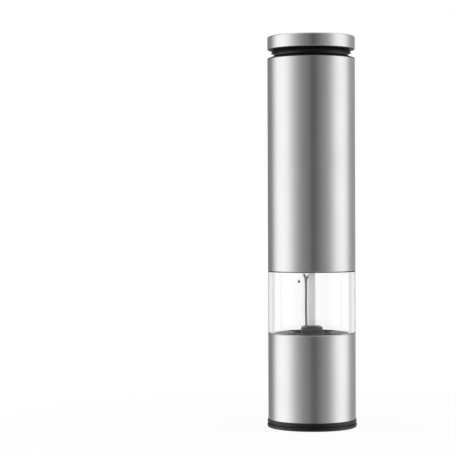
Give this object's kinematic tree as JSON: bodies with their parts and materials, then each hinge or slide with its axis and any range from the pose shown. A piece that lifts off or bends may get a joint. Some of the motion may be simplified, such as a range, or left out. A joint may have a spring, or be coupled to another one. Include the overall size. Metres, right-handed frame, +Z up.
{
  "type": "battery pepper mill",
  "caption": "Slim cylindrical battery pepper mill: brushed-steel sleeves, clear pepper chamber with square drive shaft, push cap, removable base cap.",
  "frame": {"origin": "centre of the base cap's resting face", "axes": "+Z up along the mill's axis; -Y is the front; +X is to the right seen from the front"},
  "size_m": [0.0512, 0.0512, 0.223],
  "materials": {
    "brushed_steel": "fine circumferential brushing, satin",
    "black_plastic": "moulded, semi-gloss",
    "clear_plastic": "clear, polished",
    "satin_steel": "drawn bar, satin",
    "plated_steel": "zinc plated",
    "spring_steel": "drawn wire, bright",
    "contact_metal": "nickel plated",
    "brass": "machined",
    "bronze": "sintered, dull",
    "ceramic": "fine ceramic, off-white",
    "rubber": "moulded, dull",
    "gear_plastic": "acetal, off-white",
    "motor_plastic": "glass-filled, dull",
    "cell_wrap": "printed-free shrink wrap over a steel can",
    "circuit_board": "green lacquer",
    "switch_plastic": "moulded",
    "lamp_lens": "clear epoxy",
    "wire_cover": "insulated wire"
  },
  "bodies": {
    "base": {"base_cap": "black_plastic", "base_cap_seal": "rubber"},
    "mill": {"base_ring": "black_plastic", "lower_sleeve": "brushed_steel", "mill_housing": "black_plastic", "feed_bridge": "black_plastic", "shaft_bush": "bronze", "stator_burr": "ceramic", "bottom_plate": "black_plastic", "bottom_plate_screws": "plated_steel", "lamp_board": "circuit_board", "lamps": "lamp_lens", "lamp_windows": "clear_plastic", "chamber": "clear_plastic", "conduit_tube": "clear_plastic", "conduit_wires": "wire_cover", "contact_pins": "contact_metal"},
    "shaft": {"drive_shaft": "satin_steel", "agitator": "black_plastic", "shaft_clip": "plated_steel", "burr_spring": "spring_steel"},
    "burr": {"rotor_core": "black_plastic", "rotor_burr": "ceramic"},
    "fineness_wheel": {"adjust_knob": "black_plastic", "knob_nut": "brass"},
    "drive_unit": {"motor_chassis": "black_plastic", "motor_cover": "black_plastic", "plug_seal": "rubber", "contact_pads": "contact_metal", "gearbox_base": "gear_plastic", "output_bush": "bronze", "ring_gear": "gear_plastic", "motor_plate": "plated_steel", "gearbox_screws": "plated_steel", "motor_can": "plated_steel", "motor_end_bell": "motor_plastic", "motor_terminals": "contact_metal", "battery_holder": "black_plastic", "battery_plates": "contact_metal", "battery_cells": "cell_wrap", "battery_springs": "spring_steel", "holder_screws": "plated_steel", "contact_board": "circuit_board", "switch_body": "switch_plastic"},
    "gear_output": {"output_carrier": "gear_plastic"},
    "gear_middle": {"stage_1_carrier": "gear_plastic"},
    "motor_rotor": {"motor_pinion": "contact_metal"},
    "planet_1a": {"stage_1_planet_a": "gear_plastic"},
    "planet_1b": {"stage_1_planet_b": "gear_plastic"},
    "planet_1c": {"stage_1_planet_c": "gear_plastic"},
    "planet_2a": {"stage_2_planet_a": "gear_plastic"},
    "planet_2b": {"stage_2_planet_b": "gear_plastic"},
    "planet_2c": {"stage_2_planet_c": "gear_plastic"},
    "switch_key": {"switch_actuator": "switch_plastic"},
    "outer_sleeve": {"upper_sleeve": "brushed_steel", "neck_collar": "black_plastic", "return_spring": "spring_steel"},
    "push_cap": {"cap_shell": "brushed_steel", "button_core": "black_plastic"}
  },
  "joints": [
    {"name": "mill_lift", "type": "slide", "parent": "base", "child": "mill", "axis": [0, 0, 1], "range_m": [0, 0.03]},
    {"name": "shaft_spin", "type": "hinge", "parent": "mill", "child": "shaft", "pos_m": [0, 0, 0.05], "axis": [0, 0, 1], "continuous": true},
    {"name": "burr_slide", "type": "slide", "parent": "shaft", "child": "burr", "axis": [0, 0, 1], "range_m": [0, 0.0007], "deforming": ["burr_spring"]},
    {"name": "fineness_turn", "type": "hinge", "parent": "burr", "child": "fineness_wheel", "pos_m": [0, 0, 0.01], "axis": [0, 0, 1], "range_deg": [0, 360]},
    {"name": "unit_lift", "type": "slide", "parent": "mill", "child": "drive_unit", "axis": [0, 0, 1], "range_m": [0, 0.06]},
    {"name": "output_spin", "type": "hinge", "parent": "drive_unit", "child": "gear_output", "pos_m": [0, 0, 0.1], "axis": [0, 0, 1], "continuous": true},
    {"name": "middle_spin", "type": "hinge", "parent": "drive_unit", "child": "gear_middle", "pos_m": [0, 0, 0.11], "axis": [0, 0, 1], "continuous": true},
    {"name": "rotor_spin", "type": "hinge", "parent": "drive_unit", "child": "motor_rotor", "pos_m": [0, 0, 0.118], "axis": [0, 0, 1], "continuous": true},
    {"name": "sleeve_lift", "type": "slide", "parent": "drive_unit", "child": "outer_sleeve", "axis": [0, 0, 1], "range_m": [0, 0.125]},
    {"name": "cap_press", "type": "slide", "parent": "outer_sleeve", "child": "push_cap", "axis": [0, 0, -1], "range_m": [0, 0.0015], "stiffness_N_per_m": 1200, "springref_m": -0.002, "deforming": ["return_spring"]},
    {"name": "switch_press", "type": "slide", "parent": "drive_unit", "child": "switch_key", "axis": [0, 0, -1], "range_m": [0, 0.0015]},
    {"name": "planet_2a_spin", "type": "hinge", "parent": "gear_output", "child": "planet_2a", "pos_m": [0.009, 0, 0.105], "axis": [0, 0, 1], "continuous": true},
    {"name": "planet_2b_spin", "type": "hinge", "parent": "gear_output", "child": "planet_2b", "pos_m": [-0.0045, 0.00779, 0.105], "axis": [0, 0, 1], "continuous": true},
    {"name": "planet_2c_spin", "type": "hinge", "parent": "gear_output", "child": "planet_2c", "pos_m": [-0.0045, -0.00779, 0.105], "axis": [0, 0, 1], "continuous": true},
    {"name": "planet_1a_spin", "type": "hinge", "parent": "gear_middle", "child": "planet_1a", "pos_m": [0.009, 0, 0.113], "axis": [0, 0, 1], "continuous": true},
    {"name": "planet_1b_spin", "type": "hinge", "parent": "gear_middle", "child": "planet_1b", "pos_m": [-0.0045, 0.00779, 0.113], "axis": [0, 0, 1], "continuous": true},
    {"name": "planet_1c_spin", "type": "hinge", "parent": "gear_middle", "child": "planet_1c", "pos_m": [-0.0045, -0.00779, 0.113], "axis": [0, 0, 1], "continuous": true}
  ],
  "couplings": [
    {"joint": "output_spin", "follows": "shaft_spin", "ratio": 1},
    {"joint": "middle_spin", "follows": "shaft_spin", "ratio": 5},
    {"joint": "rotor_spin", "follows": "shaft_spin", "ratio": 25},
    {"joint": "fineness_turn", "follows": "burr_slide", "rad_per_m": 8976},
    {"joint": "switch_press", "follows": "cap_press", "ratio": 1},
    {"joint": "planet_2a_spin", "follows": "shaft_spin", "ratio": -2.6667},
    {"joint": "planet_2b_spin", "follows": "shaft_spin", "ratio": -2.6667},
    {"joint": "planet_2c_spin", "follows": "shaft_spin", "ratio": -2.6667},
    {"joint": "planet_1a_spin", "follows": "shaft_spin", "ratio": -13.333},
    {"joint": "planet_1b_spin", "follows": "shaft_spin", "ratio": -13.333},
    {"joint": "planet_1c_spin", "follows": "shaft_spin", "ratio": -13.333}
  ]
}
